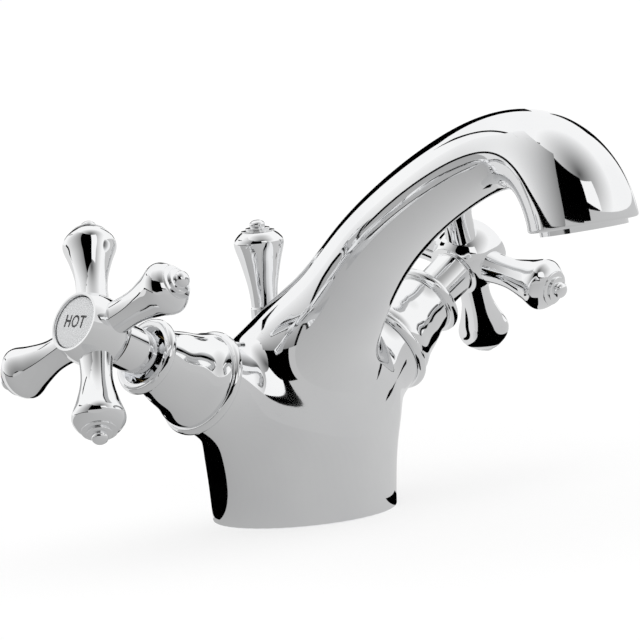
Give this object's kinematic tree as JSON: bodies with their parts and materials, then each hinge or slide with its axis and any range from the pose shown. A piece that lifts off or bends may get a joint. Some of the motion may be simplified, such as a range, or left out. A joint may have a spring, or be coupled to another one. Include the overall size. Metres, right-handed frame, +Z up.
{
  "type": "basin mixer faucet",
  "caption": "Deck-mounted basin mixer faucet with a swan-neck spout, tilted cross-handle valves with bell shrouds, a pop-up lift knob and an under-deck fixing kit.",
  "frame": {"origin": "centre of the base on the basin deck's top face", "axes": "+Z up, -Y along the spout towards the user, +X towards the cold handle"},
  "size_m": [0.1737, 0.1631, 0.1587],
  "materials": {
    "chrome_plate": "bright chrome plate on brass",
    "brass": "machined brass",
    "zinc_steel": "zinc-plated pressed steel",
    "stainless": "stainless steel",
    "rubber": "black moulded rubber",
    "fibre": "red fibre washer",
    "white_plastic": "moulded acetal",
    "ceramic": "lapped alumina",
    "index_enamel": "pale disc with dark print"
  },
  "bodies": {
    "body": {"body_casting": "chrome_plate", "aerator_housing": "chrome_plate", "base_gasket": "rubber", "clamp_pad": "rubber", "aerator_washer": "rubber", "rod_bush": "white_plastic", "aerator_insert": "white_plastic", "fixing_stud": "brass", "clamp_nut": "brass", "clamp_plate": "zinc_steel", "hot_shroud": "chrome_plate", "hot_bonnet": "brass", "hot_bonnet_washer": "fibre", "hot_seat_seal": "rubber", "hot_fixed_disc": "ceramic", "cold_shroud": "chrome_plate", "cold_bonnet": "brass", "cold_bonnet_washer": "fibre", "cold_seat_seal": "rubber", "cold_fixed_disc": "ceramic"},
    "lift": {"lift_knob": "chrome_plate", "lift_rod": "chrome_plate"},
    "hot_handle": {"hot_moving_disc": "ceramic", "hot_spindle": "brass", "hot_spindle_orings": "rubber", "hot_spindle_clip": "stainless", "hot_hub": "chrome_plate", "hot_arm_1": "chrome_plate", "hot_arm_2": "chrome_plate", "hot_arm_3": "chrome_plate", "hot_arm_4": "chrome_plate", "hot_screw": "stainless", "hot_index_button": "index_enamel"},
    "cold_handle": {"cold_moving_disc": "ceramic", "cold_spindle": "brass", "cold_spindle_orings": "rubber", "cold_spindle_clip": "stainless", "cold_hub": "chrome_plate", "cold_arm_1": "chrome_plate", "cold_arm_2": "chrome_plate", "cold_arm_3": "chrome_plate", "cold_arm_4": "chrome_plate", "cold_screw": "stainless", "cold_index_button": "index_enamel"}
  },
  "joints": [
    {"name": "hot_turn", "type": "hinge", "parent": "body", "child": "hot_handle", "pos_m": [-0.06822, -0.001, 0.06071], "axis": [-0.8746, 0, 0.4848], "range_deg": [0, 90]},
    {"name": "cold_turn", "type": "hinge", "parent": "body", "child": "cold_handle", "pos_m": [0.06822, -0.001, 0.06071], "axis": [0.8746, 0, 0.4848], "range_deg": [-90, 0]},
    {"name": "lift_slide", "type": "slide", "parent": "body", "child": "lift", "axis": [0, 0, 1], "range_m": [0, 0.025]}
  ]
}
